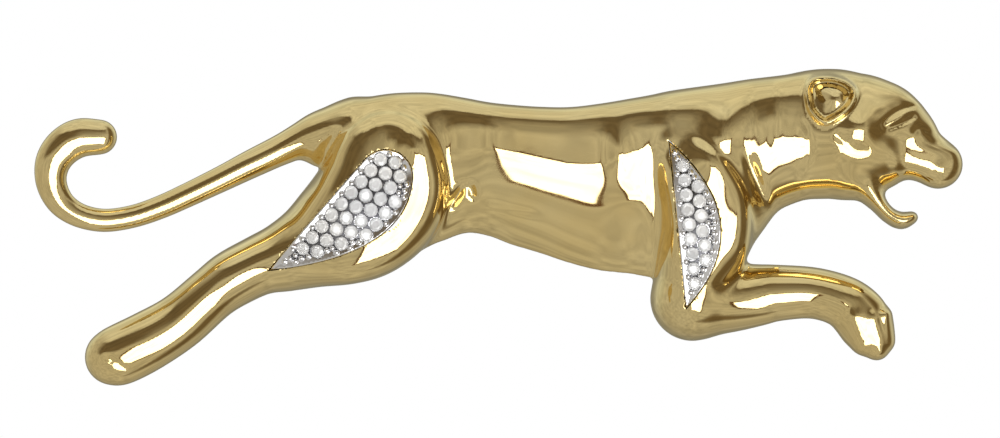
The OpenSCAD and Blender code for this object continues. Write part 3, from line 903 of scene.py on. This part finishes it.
GOLD_DARK, GOLD_LIGHT = (0.82, 0.64, 0.29), (0.87, 0.71, 0.36)
yellow_gold = metal("polished_yellow_gold", GOLD_DARK, GOLD_LIGHT, 0.035, 0.09)
stem_gold = metal("drawn_yellow_gold", (0.80, 0.64, 0.36), (0.84, 0.70, 0.42), 0.10, 0.18, 1400)
white_gold = metal("bright_cut_white_gold", (0.80, 0.80, 0.82), (0.88, 0.88, 0.89), 0.04, 0.10)
# near-black white gold for the field between the stones: painted shade in the gaps between them
painted_shade_gold = metal("white_gold_painted_shade", (0.10, 0.10, 0.11), (0.22, 0.22, 0.23), 0.22, 0.4)
raw_gold = as_cast("as_cast_yellow_gold")
stone = stone_material("cut_stone")

# ---------- pieces ----------

body = casting()
body.data.materials.append(yellow_gold)
body.data.materials.append(raw_gold)
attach(body, "brooch")
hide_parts("panther_body")

draw = np.random.default_rng(7)
for label, plate in (("haunch", HAUNCH), ("shoulder", SHOULDER_PLATE)):
    piece = plate_piece(label + "_plate_set", plate)
    piece.data.materials.append(white_gold)
    # second material: painted shade on the field between the stones
    piece.data.materials.append(painted_shade_gold)
    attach(piece, "brooch")
    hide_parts(label + "_plate")
    for k, seats in enumerate(plate["seats"], 1):
        row = stone_row("%s_stones_%d" % (label, k), plate, seats, draw)
        row.data.materials.append(stone)
        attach(row, "brooch")
        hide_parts("%s_stones_row_%d" % (label, k))

for node in ("hinge_pad", "hinge_bracket", "hinge_rivet", "catch_pad", "catch_housing",
             "catch_rotor", "pin_stem"):
    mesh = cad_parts[node].data
    mesh.materials.clear()
    mesh.materials.append(stem_gold if node == "pin_stem" else yellow_gold)


# ---------- studio ----------

class Sums:
    """Arithmetic with the nodes of one tree; an argument is a number, a colour or a socket."""

    def __init__(self, tree):
        self.tree = tree

    def plug(self, value, socket):
        if isinstance(value, tuple):
            socket.default_value = (*value, 1)
        elif isinstance(value, (int, float)):
            socket.default_value = value
        else:
            self.tree.links.new(value, socket)

    def math(self, operation, *values):
        node = self.tree.nodes.new("ShaderNodeMath")
        node.operation = operation
        for value, socket in zip(values, node.inputs):
            self.plug(value, socket)
        return node.outputs[0]

    def product(self, *values):
        out = values[0]
        for value in values[1:]:
            out = self.math("MULTIPLY", out, value)
        return out

    def clamped(self, value):
        return self.math("MINIMUM", self.math("MAXIMUM", value, 0.0), 1.0)

    def above(self, low, high, value):
        """A soft step from 0 at low to 1 at high."""
        node = self.tree.nodes.new("ShaderNodeMapRange")
        node.interpolation_type = "SMOOTHSTEP"
        node.inputs["From Min"].default_value = low
        node.inputs["From Max"].default_value = high
        self.plug(value, node.inputs["Value"])
        return node.outputs["Result"]

    def below(self, low, high, value):
        """A soft step from 1 at low to 0 at high."""
        return self.math("SUBTRACT", 1.0, self.above(low, high, value))

    def mix(self, first, second, share):
        node = self.tree.nodes.new("ShaderNodeMix")
        node.data_type = "RGBA"
        node.clamp_factor = True
        for value, socket in ((share, 0), (first, 6), (second, 7)):
            self.plug(value, node.inputs[socket])
        return node.outputs[2]

    def scaled(self, colour, factor):
        node = self.tree.nodes.new("ShaderNodeVectorMath")
        node.operation = "SCALE"
        self.plug(colour, node.inputs[0])
        self.plug(factor, node.inputs["Scale"])
        return node.outputs["Vector"]


def room(tree):
    """The room's light by direction: a grey room with one soft box low to the right, a dark zone
    above the camera and one far to the right. Places in it are in degrees, to the right of the
    direction from the part to the main camera, and above it."""
    sums = Sums(tree)
    way = tree.nodes.new("ShaderNodeTexCoord").outputs["Generated"]
    split = tree.nodes.new("ShaderNodeSeparateXYZ")
    tree.links.new(way, split.inputs[0])
    x, y, z = split.outputs
    toward = sums.math("MULTIPLY", y, -1.0)
    right = sums.math("DEGREES", sums.math("ARCTAN2", x, toward))
    up = sums.math("DEGREES", sums.math("ARCSINE", z))
    # the room's edges wander a few degrees, as they do in a real room
    drift = sums.math("SUBTRACT", noise(tree, way, 3.2, 3.0, 0.5), 0.5)
    up = sums.math("ADD", up, sums.math("MULTIPLY", drift, 9.0))

    def off_middle(right_0, up_0, half_width, half_height):
        """How far a direction is from a zone's middle each way, in half sizes."""
        return (sums.math("DIVIDE", sums.math("SUBTRACT", right, right_0), half_width),
                sums.math("DIVIDE", sums.math("SUBTRACT", up, up_0), half_height))

    def ellipse(*zone):
        a, e = off_middle(*zone)
        return sums.math("SQRT", sums.math("ADD", sums.product(a, a), sums.product(e, e)))

    def box(*zone):
        a, e = off_middle(*zone)
        return sums.math("MAXIMUM", sums.math("ABSOLUTE", a), sums.math("ABSOLUTE", e))

    # a grey room, lighter overhead
    colour = sums.mix((0.52, 0.50, 0.46), (0.70, 0.70, 0.67), sums.above(44, 58, up))
    # a dark zone above the camera: sharp above, fading downwards, and deep to the left
    left = sums.product(sums.below(-22, 12, right), sums.above(-90, -50, right))
    across = sums.product(sums.above(-95, -50, right), sums.below(40, 85, right))
    fade = sums.clamped(sums.product(sums.math("SUBTRACT", up, 8.0), 1 / 36))
    deep = sums.clamped(sums.product(sums.math("SUBTRACT", up, 6.0), 1 / 8))
    fade = sums.math("ADD", fade, sums.product(sums.math("SUBTRACT", deep, fade), left))
    dark = sums.product(across, fade, sums.below(44, 50, up), 0.92)
    colour = sums.mix(colour, (0.12, 0.085, 0.045), dark)
    # a dark zone far to the right
    dark = sums.below(0.7, 1.2, ellipse(95, -10, 30, 70))
    colour = sums.mix(colour, (0.16, 0.12, 0.07), dark)
    # the soft box and its dark frame
    soft_box = box(18, -25, 26, 22)
    colour = sums.mix(colour, (0.12, 0.06, 0.025), sums.below(1.07, 1.14, soft_box))
    colour = sums.mix(colour, (3.2, 3.2, 3.2), sums.below(0.98, 1.03, soft_box))
    # behind the part: bright above, dimmer below
    wall = sums.mix((0.40, 0.38, 0.33), (0.70, 0.74, 0.70), sums.above(-0.6, 0.5, z))
    colour = sums.mix(colour, wall, sums.below(-0.7, -0.15, toward))
    # straight behind the part it is dim, so that its edges stand out from the white
    colour = sums.mix(colour, (0.27, 0.26, 0.21), sums.above(0.72, 0.94, y))
    # the whole room's tone is a little uneven
    cloud = noise(tree, way, 7.0, 4.0, 0.5)
    return sums.scaled(colour, sums.math("ADD", sums.product(cloud, 0.9), 0.55))


def world_studio():
    """The world lights the part with the room, and shows the camera plain white."""
    world = bpy.data.worlds.new("studio")
    bpy.context.scene.world = world
    world.use_nodes = True
    tree = world.node_tree
    tree.nodes.clear()
    seen = tree.nodes.new("ShaderNodeLightPath").outputs["Is Camera Ray"]
    background = tree.nodes.new("ShaderNodeBackground")
    out = tree.nodes.new("ShaderNodeOutputWorld")
    colour = Sums(tree).mix(room(tree), (1.0, 1.0, 1.0), seen)
    tree.links.new(colour, background.inputs["Color"])
    tree.links.new(background.outputs[0], out.inputs["Surface"])


def floor():
    """A plain pale floor well under the part, out of the main view."""
    mesh = bpy.data.meshes.new("floor")
    n, radius, level = 96, 0.7, -0.07
    ring = [(radius * math.cos(2 * math.pi * k / n), radius * math.sin(2 * math.pi * k / n), 0)
            for k in range(n)]
    mesh.from_pydata(ring, [], [tuple(range(n))])
    obj = bpy.data.objects.new("floor", mesh)
    obj.location = (0, 0, level)
    obj.visible_glossy = False
    obj.visible_transmission = False
    bpy.context.scene.collection.objects.link(obj)
    material, tree, shader = new_material("pale_floor")
    tone = ramp(tree, noise(tree, object_space(tree), 30, 3), [(0.3, 0.80), (0.7, 0.84)])
    tree.links.new(tone, shader.inputs["Base Color"])
    shader.inputs["Roughness"].default_value = 0.9
    mesh.materials.append(material)


def lamp(name, place, size, power):
    """A soft round lamp aimed at the part; it lights but isn't reflected."""
    data = bpy.data.lights.new(name, "AREA")
    data.shape = "DISK"
    data.size = size
    data.energy = power
    obj = bpy.data.objects.new(name, data)
    obj.location = place
    obj.rotation_mode = "QUATERNION"
    obj.rotation_quaternion = (Vector() - Vector(place)).to_track_quat("-Z", "Y")
    obj.visible_camera = False
    obj.visible_glossy = False
    bpy.context.scene.collection.objects.link(obj)


def camera():
    """A long lens square on to the front, 70 mm of the sketch plane across the picture."""
    data = bpy.data.cameras.new("camera")
    sensor, distance, width = 36, 0.5, 0.070       # mm, m, m
    middle_depth = 2.5                             # mm: the plane that the width is taken on
    data.sensor_width = sensor
    data.lens = sensor * distance / width
    data.clip_start, data.clip_end = 0.01, 10
    obj = bpy.data.objects.new("camera", data)
    obj.location = (-ORIGIN_X * MM, (BACK_Y - middle_depth) * MM - distance, -ORIGIN_Z * MM)
    obj.rotation_euler = (math.pi / 2, 0, 0)
    bpy.context.scene.collection.objects.link(obj)
    bpy.context.scene.camera = obj


world_studio()
floor()
lamp("overhead", (0.0, -0.1, 0.8), 0.6, 9.0)
lamp("front", (0.2, -0.8, 0.1), 0.4, 4.0)
camera()
bpy.context.scene.view_settings.view_transform = "Standard"
